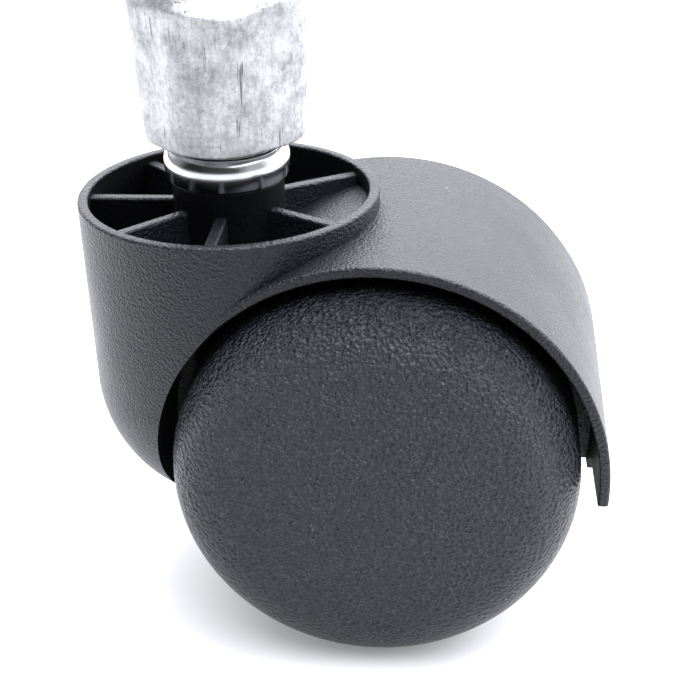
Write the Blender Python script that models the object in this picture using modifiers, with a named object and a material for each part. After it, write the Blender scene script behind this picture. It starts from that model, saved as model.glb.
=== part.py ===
"""Twin-wheel swivel caster on a grip-ring stem, with the metal leg end it plugs into.

Frame: the origin is on the swivel axis, on the collar's top face where the leg's underside rests.
+Z runs up the stem, +X trails from the swivel axis to the axle, and Y runs along the axle.
All driving dimensions are millimetres and are turned to metres by MM.
"""

import math

import bmesh
import bpy
from mathutils import Matrix, Vector

MM = 0.001

# ---------------------------------------------------------------- driving dimensions, in mm
FLOOR_Z = -62.6          # floor below the underside of the leg
WHEEL_R = 25.0           # wheel radius (50 mm wheel)
OFFSET = 18.8            # swivel axis to axle
AXLE_Z = FLOOR_Z + WHEEL_R
GAP = 0.3                # clearance between neighbouring pieces

CUP_R = 18.65            # outer radius of the ribbed cup at its rim
CUP_WALL = 1.3
BOWL_R = 18.2            # hemispherical bottom of the cup, and the height of its centre
BOWL_Z = -30.5
RIM_Z = -7.1
RIB_TOP_Z = -8.1
RIB_T = 1.5
RIB_ANGLES = (31.0, 90.0, 134.5, 180.0, 225.5, 270.0, 329.0)

FENDER_R = 28.35         # outer radius of the fender about the axle
WELL_R = 27.05           # inner radius of the fender at its lips
WELL_IN_R = 26.7         # and beside the middle web
FENDER_HALF_W = 18.5
FENDER_END_Z = -40.2     # rear end of the fender over the wheels
TONGUE_END_Z = -42.3     # and of its middle tongue
TONGUE_HALF_W = 6.0
NOSE_END_DEG = -158.0    # front lower end of the hood, about the axle

BOSS_TOP_Z = -5.1
BOSS_R = 6.9             # stem boss inside the cup
BOSS_LOW_R = 6.2         # stem boss between the wheels
BOSS_BOTTOM_Z = -32.5
WEB_HALF_T = 3.5
AXLE_BOSS_R = 6.6
AXLE_BOSS_HALF = 5.6

STEM_R = 5.5
STEM_TIP_Z = 22.0
STEM_LOW_R = 4.0
STEM_END_Z = -29.0
RING_GROOVE = (14.8, 18.2)
RING_GROOVE_R = 4.6
CLIP_GROOVE = (-26.2, -24.6)
COLLAR_R = 6.9           # the stem's collar
CAP_R = 7.75             # the chromed ring under it

AXLE_R = 3.0
AXLE_HALF = 20.0
WHEEL_IN = 6.9           # inner side of each wheel from the middle plane
WHEEL_EDGE_R = 7.9       # rounding between tread and face
TREAD_OUT = 15.4         # where the tread starts to round
FACE_ARC_DEG = 85.0
SHELL_WALL = 2.2
HUB_R = 7.2
HUB_BORE_R = 4.6
SPOKES = 6
SPOKE_T = 1.6
SPOKE_PHASE = 0.043        # first spoke's angle, as a part of the spoke pitch

SOCKET_HALF = 9.1        # half width of the leg end at its bottom
SOCKET_CORNER_R = 7.3
SOCKET_TOP_Z = 24.6
SOCKET_SHOULDER_Z = 16.7
SOCKET_BORE_R = 6.1
SOCKET_BORE_TOP_Z = 22.3
SOCKET_TURN_DEG = 45.0


# ---------------------------------------------------------------- scene, collections, materials
for old in list(bpy.data.objects):
    bpy.data.objects.remove(old, do_unlink=True)
for old in list(bpy.data.collections):
    bpy.data.collections.remove(old)

PARTS = bpy.data.collections.new("chair_caster")
CUTTERS = bpy.data.collections.new("cutters")
bpy.context.scene.collection.children.link(PARTS)
bpy.context.scene.collection.children.link(CUTTERS)


def material(name, colour, roughness, metallic=0.0):
    m = bpy.data.materials.new(name)
    m.use_nodes = True
    shader = m.node_tree.nodes["Principled BSDF"]
    shader.inputs["Base Color"].default_value = (*colour, 1.0)
    shader.inputs["Roughness"].default_value = roughness
    shader.inputs["Metallic"].default_value = metallic
    m.diffuse_color = (*colour, 1.0)
    return m


BLACK_NYLON = material("black_nylon", (0.018, 0.018, 0.020), 0.42)
TYRE_PLASTIC = material("charcoal_tyre", (0.035, 0.035, 0.038), 0.55)
CORE_PLASTIC = material("dark_core_plastic", (0.028, 0.028, 0.030), 0.5)
CHROME = material("chrome", (0.80, 0.81, 0.82), 0.12, 1.0)
STEEL = material("zinc_steel", (0.60, 0.61, 0.62), 0.32, 1.0)
SPRING_STEEL = material("spring_steel", (0.30, 0.30, 0.31), 0.38, 1.0)
ACETAL = material("black_acetal", (0.012, 0.012, 0.013), 0.35)
BRONZE = material("sintered_bronze", (0.50, 0.34, 0.18), 0.45, 1.0)
CAST_METAL = material("cast_leg_metal", (0.62, 0.62, 0.64), 0.48, 1.0)


def place(obj, mat=None, cutter=False):
    (CUTTERS if cutter else PARTS).objects.link(obj)
    if mat:
        obj.data.materials.append(mat)
    if cutter:
        obj.hide_render = True
        obj.display_type = "WIRE"
    return obj


# ---------------------------------------------------------------- modelling helpers
def smooth(mesh, degrees=30.0):
    mesh.shade_smooth()
    mesh.set_sharp_from_angle(angle=math.radians(degrees))


def turned(name, profile, mat=None, steps=48, ring=False, cutter=False):
    """A solid of revolution about Z: profile is (radius, z) in mm, down the outer side from top to bottom.
    A ring's profile closes on itself; any other starts and ends on the axis."""
    mesh = bpy.data.meshes.new(name)
    verts = [(r * MM, 0.0, z * MM) for r, z in profile]
    edges = [(i, i + 1) for i in range(len(verts) - 1)]
    if ring:
        edges.append((len(verts) - 1, 0))
    mesh.from_pydata(verts, edges, [])
    obj = bpy.data.objects.new(name, mesh)
    place(obj, mat, cutter)
    screw = obj.modifiers.new("turn", "SCREW")
    screw.axis = "Z"
    screw.angle = 2.0 * math.pi
    screw.steps = steps
    screw.render_steps = steps
    screw.use_merge_vertices = True
    screw.merge_threshold = 1e-6
    screw.use_smooth_shade = True
    return obj


def cylinder(name, radius, z0, z1, mat=None, steps=64, cutter=True):
    mesh = bpy.data.meshes.new(name)
    bm = bmesh.new()
    bmesh.ops.create_cone(bm, cap_ends=True, segments=steps, radius1=radius * MM, radius2=radius * MM,
                          depth=(z1 - z0) * MM)
    bmesh.ops.translate(bm, verts=bm.verts, vec=(0.0, 0.0, 0.5 * (z0 + z1) * MM))
    bm.to_mesh(mesh)
    bm.free()
    obj = bpy.data.objects.new(name, mesh)
    return place(obj, mat, cutter)


def block(name, low, high, cutter=True):
    mesh = bpy.data.meshes.new(name)
    bm = bmesh.new()
    bmesh.ops.create_cube(bm, size=1.0)
    size = [(h - l) * MM for l, h in zip(low, high)]
    mid = [0.5 * (h + l) * MM for l, h in zip(low, high)]
    bmesh.ops.scale(bm, verts=bm.verts, vec=size)
    bmesh.ops.translate(bm, verts=bm.verts, vec=mid)
    bm.to_mesh(mesh)
    bm.free()
    return place(bpy.data.objects.new(name, mesh), None, cutter)


def outline(name, points, thickness, mat=None, cutter=True, upright=True):
    """A flat outline extruded by its thickness, made a mesh. Upright outlines lie in XZ and extrude along Y;
    the others lie in XY and extrude along Z."""
    curve = bpy.data.curves.new(name, "CURVE")
    curve.dimensions = "2D"
    curve.fill_mode = "BOTH"
    curve.extrude = 0.5 * thickness * MM
    spline = curve.splines.new("POLY")
    spline.points.add(len(points) - 1)
    for p, (x, y) in zip(spline.points, points):
        p.co = (x * MM, y * MM, 0.0, 1.0)
    spline.use_cyclic_u = True
    flat = bpy.data.objects.new(name + "_curve", curve)
    CUTTERS.objects.link(flat)
    if upright:
        flat.rotation_euler = (0.5 * math.pi, 0.0, 0.0)
    bpy.context.view_layer.update()
    graph = bpy.context.evaluated_depsgraph_get()
    mesh = bpy.data.meshes.new_from_object(flat.evaluated_get(graph))
    mesh.name = name
    bm = bmesh.new()
    bm.from_mesh(mesh)
    bmesh.ops.remove_doubles(bm, verts=bm.verts, dist=1e-6)
    bmesh.ops.dissolve_limit(bm, angle_limit=math.radians(0.5), verts=bm.verts, edges=bm.edges)
    bmesh.ops.recalc_face_normals(bm, faces=bm.faces)
    bm.to_mesh(mesh)
    bm.free()
    mesh.materials.clear()
    obj = bpy.data.objects.new(name, mesh)
    obj.matrix_world = flat.matrix_world.copy()
    bpy.data.objects.remove(flat, do_unlink=True)
    return place(obj, mat, cutter)


def boolean(obj, other, operation):
    mod = obj.modifiers.new(operation.lower() + "_" + other.name, "BOOLEAN")
    mod.operation = operation
    mod.solver = "EXACT"
    mod.object = other
    return mod


def cut(obj, *others):
    for other in others:
        boolean(obj, other, "DIFFERENCE")


def join(obj, *others):
    for other in others:
        boolean(obj, other, "UNION")


def lie_along_y(obj, side=0.0, x=OFFSET, z=AXLE_Z):
    """Turns a piece made about Z so that its +Z points out along Y on that side (-1 is -Y, +1 is +Y)."""
    obj.rotation_euler = (math.pi * 0.5 if side <= 0 else -math.pi * 0.5, 0.0, 0.0)
    obj.location = (x * MM, 0.0, z * MM)
    return obj


def polar(radius, degrees, centre=(OFFSET, AXLE_Z)):
    a = math.radians(degrees)
    return centre[0] + radius * math.cos(a), centre[1] + radius * math.sin(a)


def arc(centre, radius, start, end, count):
    """Points on an arc in degrees, both ends included."""
    return [polar(radius, start + (end - start) * i / (count - 1), centre) for i in range(count)]


def empty(name, location):
    obj = bpy.data.objects.new(name, None)
    obj.location = [c * MM for c in location]
    PARTS.objects.link(obj)
    return obj


def attach(parent, *children):
    for child in children:
        child.parent = parent
        child.matrix_parent_inverse = Matrix.Translation(-Vector(parent.location))


# ---------------------------------------------------------------- the stem and what sits on it
stem_profile = [(0.0, STEM_TIP_Z), (STEM_R - 1.2, STEM_TIP_Z), (STEM_R, STEM_TIP_Z - 1.2),
                (STEM_R, RING_GROOVE[1]), (RING_GROOVE_R, RING_GROOVE[1]),
                (RING_GROOVE_R, RING_GROOVE[0]), (STEM_R, RING_GROOVE[0]), (STEM_R, 0.0)]
# the collar the leg stands on
stem_profile += [(COLLAR_R - 0.2, 0.0), (COLLAR_R, -0.2), (COLLAR_R, -0.4), (COLLAR_R - 0.2, -0.6), (STEM_LOW_R, -0.6),
                 (STEM_LOW_R, CLIP_GROOVE[1]), (3.3, CLIP_GROOVE[1]), (3.3, CLIP_GROOVE[0]),
                 (STEM_LOW_R, CLIP_GROOVE[0]), (STEM_LOW_R, -27.0)]
stem_profile += [(STEM_LOW_R * math.cos(math.radians(a)), -27.0 - 2.0 * math.sin(math.radians(a)))
                 for a in (30.0, 60.0)]
stem_profile += [(0.0, STEM_END_Z)]
stem_pin = turned("stem_pin", stem_profile, STEEL, steps=32)

# split friction ring, barrel-backed, sprung into the stem's groove
ring_gap = 22.0
ring_points = arc((0.0, 0.0), 5.8, ring_gap / 2, 360.0 - ring_gap / 2, 29)
ring_points += arc((0.0, 0.0), RING_GROOVE_R + GAP, 360.0 - ring_gap / 2, ring_gap / 2, 29)
grip_ring = outline("grip_ring", ring_points, 2.8, SPRING_STEEL, cutter=False, upright=False)
grip_ring.location = (0.0, 0.0, 0.5 * (RING_GROOVE[0] + RING_GROOVE[1]) * MM)

# acetal washer under the collar, in a recess of the cap
thrust_washer = turned("thrust_washer", [(STEM_LOW_R + GAP, -0.9), (5.9, -0.9), (5.9, -1.3),
                                         (STEM_LOW_R + GAP, -1.3)], ACETAL, steps=32, ring=True)

# bulging chromed cap ring on top of the hood's boss
cap_profile = [(STEM_LOW_R + GAP, -1.6), (6.2, -1.6), (6.2, -0.9), (6.65, -0.9)]
cap_profile += [(CAP_R - 2.0 + 2.0 * math.cos(math.radians(t)), -2.9 + (2.5 if t > 0 else 3.6) * math.sin(math.radians(t)))
                for t in (48.0, 36.0, 24.0, 12.0, 0.0, -10.0, -21.0, -31.5)]
cap_profile += [(7.3, -4.8), (STEM_LOW_R + GAP, -4.8)]
swivel_cap = turned("swivel_cap", cap_profile, CHROME, steps=40, ring=True)

# plain bush in the boss, the snap ring that keeps the stem in, and the hard plate its end turns on
swivel_bush = turned("swivel_bush", [(STEM_LOW_R + GAP, -5.4), (5.0, -5.4), (5.0, -16.0),
                                     (STEM_LOW_R + GAP, -16.0)], BRONZE, steps=28, ring=True)
clip_mid = 0.5 * (CLIP_GROOVE[0] + CLIP_GROOVE[1])
snap_points = arc((0.0, 0.0), 4.9, 15.0, 345.0, 21) + arc((0.0, 0.0), 3.3 + GAP, 345.0, 15.0, 21)
stem_snap_ring = outline("stem_snap_ring", snap_points, 1.0, SPRING_STEEL, cutter=False, upright=False)
stem_snap_ring.location = (0.0, 0.0, clip_mid * MM)
thrust_plate = turned("thrust_plate", [(0.0, -29.3), (3.7, -29.3), (4.0, -29.6), (4.0, -30.3), (0.0, -30.3)],
                      STEEL, steps=24)

# ---------------------------------------------------------------- the leg end the stem plugs into
mesh = bpy.data.meshes.new("leg_socket")
bm = bmesh.new()
bmesh.ops.create_cube(bm, size=1.0)
bmesh.ops.scale(bm, verts=bm.verts, vec=(2 * SOCKET_HALF * MM, 2 * SOCKET_HALF * MM, 0.4 * MM))
bmesh.ops.translate(bm, verts=bm.verts, vec=(0.0, 0.0, (GAP + 0.2) * MM))
upright_edges = [e for e in bm.edges if abs(e.verts[0].co.z - e.verts[1].co.z) > 1e-5]
bmesh.ops.bevel(bm, geom=upright_edges, offset=SOCKET_CORNER_R * MM, segments=7, affect="EDGES", profile=0.5)
# each level above is the last top face drawn up and scaled: a slow taper, a shoulder and a rounded crown
# (z, half width): the outer form from the bottom corner to the flat top
levels = [(GAP + 0.4, SOCKET_HALF + 0.25), (SOCKET_SHOULDER_Z, SOCKET_HALF + 0.75), (18.9, 8.65), (21.0, 7.95),
          (22.8, 7.0), (24.0, 5.7), (SOCKET_TOP_Z, 4.4)]
low = [v for v in bm.verts if v.co.z < (GAP + 0.2) * MM]
bmesh.ops.scale(bm, verts=low, vec=(0.985, 0.985, 1.0))
top = max((f for f in bm.faces if f.normal.z > 0.9), key=lambda f: f.calc_center_median().z)
width = SOCKET_HALF
for i, (z, half) in enumerate(levels):
    if i:
        made = bmesh.ops.extrude_discrete_faces(bm, faces=[top])
        top = made["faces"][0]
    s = half / width
    for v in top.verts:
        v.co = Vector((v.co.x * s, v.co.y * s, z * MM))
    width = half
bmesh.ops.recalc_face_normals(bm, faces=bm.faces)
bmesh.ops.rotate(bm, verts=bm.verts, cent=(0, 0, 0), matrix=Matrix.Rotation(math.radians(SOCKET_TURN_DEG), 3, "Z"))
bm.to_mesh(mesh)
bm.free()
leg_socket = place(bpy.data.objects.new("leg_socket", mesh), CAST_METAL)
socket_bore = turned("cut_socket_bore", [(0.0, SOCKET_BORE_TOP_Z), (SOCKET_BORE_R - 0.9, SOCKET_BORE_TOP_Z),
                                         (SOCKET_BORE_R, SOCKET_BORE_TOP_Z - 0.9), (SOCKET_BORE_R, 1.0),
                                         (SOCKET_BORE_R + 0.7, GAP), (SOCKET_BORE_R + 0.7, -2.0), (0.0, -2.0)],
                     steps=32, cutter=True)
cut(leg_socket, socket_bore)

# ---------------------------------------------------------------- the hood: one nylon moulding
# the cup: a slight draft down to a hemispherical bottom
cup_profile = [(0.0, RIM_Z), (CUP_R, RIM_Z)] + arc((0.0, BOWL_Z), BOWL_R, 0.0, -90.0, 13)
hood = turned("hood", cup_profile, BLACK_NYLON, steps=72)

# the fender runs back from the cup's middle
fender = lie_along_y(cylinder("cut_fender", FENDER_R, -FENDER_HALF_W, FENDER_HALF_W, steps=96), 0)
front = block("cut_fender_front", (-60.0, -40.0, -90.0), (0.0, 40.0, 30.0))
cut(fender, front)

# lower edge of the middle: from the nose past the axle to the tongue behind
under_points = [(-6.4, -90.0), (-6.4, -47.3), polar(25.45, NOSE_END_DEG)]
under_points += arc((OFFSET, AXLE_Z), 10.0, -118.0, -62.0, 9)
under_points += [(40.5, -43.2), (42.3, TONGUE_END_Z - 0.35), (43.3, TONGUE_END_Z), (70.0, TONGUE_END_Z), (70.0, -90.0)]
under = outline("cut_under", under_points, 60.0)
# over each wheel the fender ends a little higher than its middle tongue
end_left = block("cut_end_left", (38.0, -30.0, -60.0), (58.0, -TONGUE_HALF_W, FENDER_END_Z))
end_right = block("cut_end_right", (38.0, TONGUE_HALF_W, -60.0), (58.0, 30.0, FENDER_END_Z))

well_profile = [(0.0, 40.0), (WELL_R, 40.0), (WELL_R, FENDER_HALF_W), (WELL_IN_R, WEB_HALF_T), (0.0, WEB_HALF_T)]
well_left = lie_along_y(turned("cut_well_left", well_profile, steps=96, cutter=True), -1)
well_right = lie_along_y(turned("cut_well_right", well_profile, steps=96, cutter=True), 1)

# the cup's hollow follows its outside and stops at the fender's roof, at the stem boss and at the ribs
hollow = [(0.0, 5.0), (CUP_R - CUP_WALL, 5.0), (CUP_R - CUP_WALL, RIM_Z)]
hollow += arc((0.0, BOWL_Z), BOWL_R - CUP_WALL, 0.0, -90.0, 11)
cavity = turned("cut_cavity", hollow, steps=72, cutter=True)
roof = lie_along_y(cylinder("cut_roof", FENDER_R, -30.0, 30.0, steps=96), 0)
boss_in_cup = cylinder("cut_boss_in_cup", BOSS_R - 0.2, -62.0, 8.0, steps=40)
cut(cavity, roof, boss_in_cup)
for i, degrees in enumerate(RIB_ANGLES):
    rib = block("cut_rib_%d" % (i + 1), (5.0, -0.5 * RIB_T, -64.0), (21.0, 0.5 * RIB_T, RIB_TOP_Z))
    rib.rotation_euler = (0.0, 0.0, math.radians(degrees))
    cut(cavity, rib)

boss_upper = cylinder("cut_boss_upper", BOSS_R, -13.5, BOSS_TOP_Z, steps=36)
boss_lower = cylinder("cut_boss_lower", BOSS_LOW_R, BOSS_BOTTOM_Z, -9.0, steps=32)

# the thick boss that holds the axle in the web between the wheels
axle_boss = lie_along_y(cylinder("cut_axle_boss", AXLE_BOSS_R, -AXLE_BOSS_HALF, AXLE_BOSS_HALF, steps=32), 0)

stem_bore = turned("cut_stem_bore", [(0.0, 3.0), (5.0 + GAP, 3.0), (5.0 + GAP, -16.3), (STEM_LOW_R + GAP, -16.3),
                                     (STEM_LOW_R + GAP, CLIP_GROOVE[1]), (5.2, CLIP_GROOVE[1]),
                                     (5.2, CLIP_GROOVE[0]), (STEM_LOW_R + GAP, CLIP_GROOVE[0]),
                                     (STEM_LOW_R + GAP, -30.6), (0.0, -30.6)], steps=28, cutter=True)
axle_bore = lie_along_y(cylinder("cut_axle_bore", AXLE_R + GAP, -10.0, 10.0, steps=24), 0)

join(hood, fender)
cut(hood, well_left, well_right, cavity, under, end_left, end_right)
join(hood, boss_upper, boss_lower)
cut(hood, stem_bore)
join(hood, axle_boss)
cut(hood, axle_bore)

# ---------------------------------------------------------------- axle
groove_in, groove_out, groove_r = 17.7, 19.1, 2.4
axle_profile = [(0.0, AXLE_HALF), (AXLE_R - 0.5, AXLE_HALF), (AXLE_R, AXLE_HALF - 0.5), (AXLE_R, groove_out),
                (groove_r, groove_out), (groove_r, groove_in), (AXLE_R, groove_in)]
axle_profile += [(r, -y) for r, y in reversed(axle_profile)]
axle = lie_along_y(turned("axle", axle_profile, STEEL, steps=24), 0)


# ---------------------------------------------------------------- wheels
def shell_outer():
    """The wheel's outer profile from the middle of its face to the inner edge of its tread: (radius, distance out)."""
    turn = math.radians(FACE_ARC_DEG)
    r1 = WHEEL_R - WHEEL_EDGE_R + WHEEL_EDGE_R * math.cos(turn)
    y1 = TREAD_OUT + WHEEL_EDGE_R * math.sin(turn)
    big = r1 / math.cos(turn)
    points = []
    for i in range(3):
        r = r1 * i / 3.0
        points.append((r, y1 - big * math.sin(turn) + math.sqrt(big * big - r * r)))
    points += arc((WHEEL_R - WHEEL_EDGE_R, TREAD_OUT), WHEEL_EDGE_R, FACE_ARC_DEG, 0.0, 8)
    return points


def shell_inner(offset):
    """The wheel's inside, that far in from the outer profile."""
    turn = math.radians(FACE_ARC_DEG)
    edge = WHEEL_EDGE_R - offset
    r1 = WHEEL_R - WHEEL_EDGE_R + edge * math.cos(turn)
    y1 = TREAD_OUT + edge * math.sin(turn)
    big = (WHEEL_R - WHEEL_EDGE_R + WHEEL_EDGE_R * math.cos(turn)) / math.cos(turn) - offset
    points = [(r1 * i / 2.0, y1 - big * math.sin(turn) + math.sqrt(big * big - (r1 * i / 2.0) ** 2)) for i in range(2)]
    points += arc((WHEEL_R - WHEEL_EDGE_R, TREAD_OUT), edge, FACE_ARC_DEG, 0.0, 5)
    return points


left_axis = empty("left_wheel_axis", (OFFSET, 0.0, AXLE_Z))
right_axis = empty("right_wheel_axis", (OFFSET, 0.0, AXLE_Z))
swivel_axis = empty("swivel_axis", (0.0, 0.0, 0.0))

for side, word, holder in ((-1, "left", left_axis), (1, "right", right_axis)):
    inner = shell_inner(SHELL_WALL)
    profile = shell_outer() + [(WHEEL_R, WHEEL_IN + 0.6), (WHEEL_R - 0.6, WHEEL_IN), (WHEEL_R - SHELL_WALL, WHEEL_IN)]
    profile += list(reversed(inner))
    shell = lie_along_y(turned(word + "_wheel_shell", profile, TYRE_PLASTIC, steps=64), side)

    core_out = shell_inner(SHELL_WALL + GAP + 0.1)
    hub_end = 20.4
    core_profile = [(0.0, hub_end), (HUB_R - 0.4, hub_end), (HUB_R, hub_end - 0.4), (HUB_R, 9.2),
                    (WHEEL_R - SHELL_WALL - GAP, 9.2), (WHEEL_R - SHELL_WALL - GAP, WHEEL_IN + 0.3),
                    (HUB_R + 1.0, WHEEL_IN + 0.3), (HUB_R, WHEEL_IN - 0.1), (0.0, WHEEL_IN - 0.1)]
    core = lie_along_y(turned(word + "_wheel_core", core_profile, CORE_PLASTIC, steps=48), side)
    inside = lie_along_y(turned("cut_%s_inside" % word,
                                core_out + [(core_out[-1][0], 8.0), (0.0, 8.0)], steps=40, cutter=True), side)
    star = []
    for k in range(SPOKES):
        a = 2.0 * math.pi * (k + SPOKE_PHASE) / SPOKES
        half = SPOKE_T / 2.0
        for across, along in ((-half, 30.0), (half, 30.0)):
            star.append((along * math.cos(a) - across * math.sin(a), along * math.sin(a) + across * math.cos(a)))
        between = a + math.pi / SPOKES
        star.append((half / math.sin(math.pi / SPOKES) * math.cos(between),
                     half / math.sin(math.pi / SPOKES) * math.sin(between)))
    spokes = outline("cut_%s_spokes" % word, star, 18.0, upright=False)
    lie_along_y(spokes, side)
    spokes.location.y = side * 16.8 * MM
    boolean(spokes, inside, "INTERSECT")
    bore = lie_along_y(cylinder("cut_%s_hub_bore" % word, HUB_BORE_R, 0.0, 30.0, steps=28), side)
    join(core, spokes)
    cut(core, bore)

    bush = lie_along_y(turned(word + "_hub_bush", [(AXLE_R + GAP, 17.4), (HUB_BORE_R - GAP, 17.4),
                                                   (HUB_BORE_R - GAP, 7.1), (AXLE_R + GAP, 7.1)],
                              BRONZE, steps=28, ring=True), side)
    washer = lie_along_y(turned(word + "_spacer_washer", [(AXLE_R + GAP, 6.5), (6.3, 6.5), (6.3, 5.9),
                                                          (AXLE_R + GAP, 5.9)], STEEL, steps=28, ring=True), side)
    clip_points = arc((0.0, 0.0), 4.2, 20.0, 340.0, 17) + arc((0.0, 0.0), groove_r + GAP, 340.0, 20.0, 17)
    clip = outline(word + "_axle_clip", clip_points, 0.8, SPRING_STEEL, cutter=False, upright=False)
    lie_along_y(clip, side)
    clip.location = (OFFSET * MM, side * 18.4 * MM, AXLE_Z * MM)
    attach(holder, shell, core, bush)
    attach(swivel_axis, washer, clip)

attach(swivel_axis, hood, axle, swivel_cap, swivel_bush, thrust_plate, left_axis, right_axis)

for obj in PARTS.objects:
    if obj.type == "MESH" and not any(m.type == "SCREW" for m in obj.modifiers):
        smooth(obj.data)
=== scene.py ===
"""Looks of the twin-wheel caster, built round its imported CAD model.

The row frame is used throughout: the origin on the swivel axis at the collar's top face, +Z up the stem,
+X towards the axle, Y along the axle. Dimensions below are millimetres and repeat the CAD's.
"""

import math

import bmesh
import bpy
from mathutils import Matrix, Vector


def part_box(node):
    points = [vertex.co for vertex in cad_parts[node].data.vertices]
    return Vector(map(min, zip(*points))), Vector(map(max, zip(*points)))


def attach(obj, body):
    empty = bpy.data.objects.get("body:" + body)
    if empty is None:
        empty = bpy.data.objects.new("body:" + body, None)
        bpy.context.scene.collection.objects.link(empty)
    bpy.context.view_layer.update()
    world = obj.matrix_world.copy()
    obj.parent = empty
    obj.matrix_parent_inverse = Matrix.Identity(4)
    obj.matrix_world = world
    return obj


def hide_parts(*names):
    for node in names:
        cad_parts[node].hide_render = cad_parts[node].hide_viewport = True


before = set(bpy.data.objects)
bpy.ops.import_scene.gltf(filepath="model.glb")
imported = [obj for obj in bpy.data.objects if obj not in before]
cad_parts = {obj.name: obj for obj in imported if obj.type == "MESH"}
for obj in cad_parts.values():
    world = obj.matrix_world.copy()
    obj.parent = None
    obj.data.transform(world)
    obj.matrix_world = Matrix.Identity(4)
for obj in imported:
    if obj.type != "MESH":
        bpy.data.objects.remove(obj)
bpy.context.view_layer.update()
SCENE = bpy.context.scene
MM = 0.001

# ---------------------------------------------------------------- sizes, in mm, the CAD's own
AXLE_LOW, AXLE_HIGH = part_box("axle")
OFFSET = 0.5 * (AXLE_LOW.x + AXLE_HIGH.x) / MM
AXLE_Z = 0.5 * (AXLE_LOW.z + AXLE_HIGH.z) / MM
AXLE_HALF = AXLE_HIGH.y / MM
WHEEL_LOW, WHEEL_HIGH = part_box("left_wheel_shell")
FLOOR_Z = WHEEL_LOW.z / MM
WHEEL_R = 0.5 * (WHEEL_HIGH.z - WHEEL_LOW.z) / MM
WHEEL_IN = -WHEEL_HIGH.y / MM
HOOD_LOW, HOOD_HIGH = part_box("hood")
BOSS_TOP_Z = HOOD_HIGH.z / MM
CUP_R = -HOOD_LOW.x / MM
CUP_WALL = 1.3
RIM_Z = -7.1
RIB_TOP_Z = -8.1
RIB_T = 1.5
BOWL_R = 18.2
BOWL_Z = -30.5
RIB_ANGLES = (31.0, 90.0, 134.5, 180.0, 225.5, 270.0, 329.0)
FENDER_R = 28.35
WELL_R = 27.05
WELL_IN_R = 26.7
FENDER_HALF_W = 18.5
FENDER_END_Z = -40.2
TONGUE_END_Z = -42.3
TONGUE_HALF_W = 6.0
NOSE_END_DEG = -158.0
BOSS_R = 6.9
BOSS_LOW_R = 6.2
BOSS_BOTTOM_Z = -32.5
WEB_HALF_T = 3.5
AXLE_BOSS_R = 6.6
AXLE_BOSS_HALF = 5.6
STEM_R = 5.5
STEM_TIP_Z = 22.0
STEM_LOW_R = 4.0
STEM_END_Z = -29.0
RING_GROOVE = (14.8, 18.2)
RING_GROOVE_R = 4.6
CLIP_GROOVE = (-26.2, -24.6)
COLLAR_R = 6.9
CAP_R = 7.75
GAP = 0.3
AXLE_R = 3.0
WHEEL_EDGE_R = 7.9
TREAD_OUT = 15.4
FACE_ARC_DEG = 85.0
SHELL_WALL = 2.2
HUB_R = 7.2
HUB_BORE_R = 4.6
SPOKES = 6
SPOKE_T = 1.6
SPOKE_PHASE = 0.043
SOCKET_HALF = 9.1
SOCKET_CORNER_R = 7.3
SOCKET_TOP_Z = 24.6
SOCKET_SHOULDER_Z = 16.7
SOCKET_BORE_R = 6.1
SOCKET_BORE_TOP_Z = 22.3
SOCKET_TURN_DEG = 45.0
DIP_TURN = math.radians(17.0)


# ---------------------------------------------------------------- light levels
SKY = 1.0
BACK = 3.8
DARKNESS = 0.95
DARK_TOP = 0.66
FRONT_FROM, FRONT_TO = -0.35, 0.15
FLOOR_GLOW = 0.24
OVERHEAD = 3.4
OVERHEAD_FROM = 0.76
RIGHT_SIDE = 0.45
KEY = 5.0

# ---------------------------------------------------------------- camera
camera = bpy.data.objects.new("camera", bpy.data.cameras.new("camera"))
SCENE.collection.objects.link(camera)
CAM_AZ, CAM_EL, CAM_ROLL = math.radians(5.39), math.radians(26.876), math.radians(-1.415)
back = Vector((math.sin(CAM_AZ) * math.cos(CAM_EL), -math.cos(CAM_AZ) * math.cos(CAM_EL), math.sin(CAM_EL)))
right = Vector((math.cos(CAM_AZ), math.sin(CAM_AZ), 0.0))
up = back.cross(right)
side_axis = right * math.cos(CAM_ROLL) + up * math.sin(CAM_ROLL)
up_axis = up * math.cos(CAM_ROLL) - right * math.sin(CAM_ROLL)
target = Vector((14.527, 0.0, 33.522 + FLOOR_Z)) * MM
place_at = target + back * 205.845 * MM
rotation = Matrix((side_axis, up_axis, back)).transposed().to_4x4()
camera.matrix_world = Matrix.Translation(place_at) @ rotation
camera.data.lens = 36.0 * 1594.505 / 700.0
camera.data.sensor_width = 36.0
camera.data.clip_start = 0.01
camera.data.clip_end = 20.0
SCENE.camera = camera


# ---------------------------------------------------------------- mesh helpers
def link(obj):
    SCENE.collection.objects.link(obj)
    return obj


def turned(name, profile, steps=128, ring=False):
    """A solid of revolution about Z from (radius, z) in mm, down the outer side from top to bottom."""
    mesh = bpy.data.meshes.new(name)
    verts = [(r * MM, 0.0, z * MM) for r, z in profile]
    edges = [(i, i + 1) for i in range(len(verts) - 1)]
    if ring:
        edges.append((len(verts) - 1, 0))
    mesh.from_pydata(verts, edges, [])
    obj = link(bpy.data.objects.new(name, mesh))
    screw = obj.modifiers.new("turn", "SCREW")
    screw.axis = "Z"
    screw.angle = 2.0 * math.pi
    screw.steps = steps
    screw.render_steps = steps
    screw.use_merge_vertices = True
    screw.merge_threshold = 1e-7
    screw.use_smooth_shade = True
    return obj


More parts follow.
